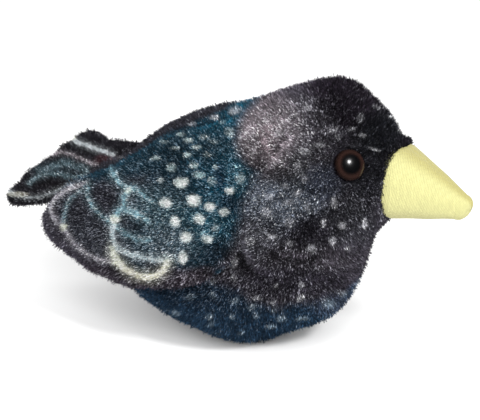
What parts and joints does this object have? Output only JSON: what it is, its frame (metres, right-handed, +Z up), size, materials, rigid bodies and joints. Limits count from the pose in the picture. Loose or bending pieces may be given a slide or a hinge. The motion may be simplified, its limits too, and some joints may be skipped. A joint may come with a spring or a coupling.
{
  "type": "plush toy starling",
  "caption": "Stuffed plush starling toy, crouched on its belly, with padded wings and tail flap, a blunt cloth beak and domed eyes.",
  "frame": {"origin": "middle of the bounding box in plan, on the surface that the belly rests on", "axes": "+X towards the beak, +Y the bird's left, +Z up"},
  "size_m": [0.153, 0.0728, 0.0825],
  "materials": {
    "plush_body": "short printed pile, dark teal and charcoal with pale specks",
    "plush_head": "short printed pile, charcoal with pale specks",
    "plush_wing": "short printed pile, dark teal with cream spots and feather outlines",
    "beak_cloth": "short-nap knit, pale yellow",
    "eye_gloss": "glossy, brown iris ring round a black pupil"
  },
  "bodies": {
    "root": {"body": "plush_body", "head": "plush_head", "wing_right": "plush_wing", "wing_left": "plush_wing", "tail": "plush_wing", "beak": "beak_cloth", "eye_right": "eye_gloss", "eye_left": "eye_gloss"}
  },
  "joints": []
}
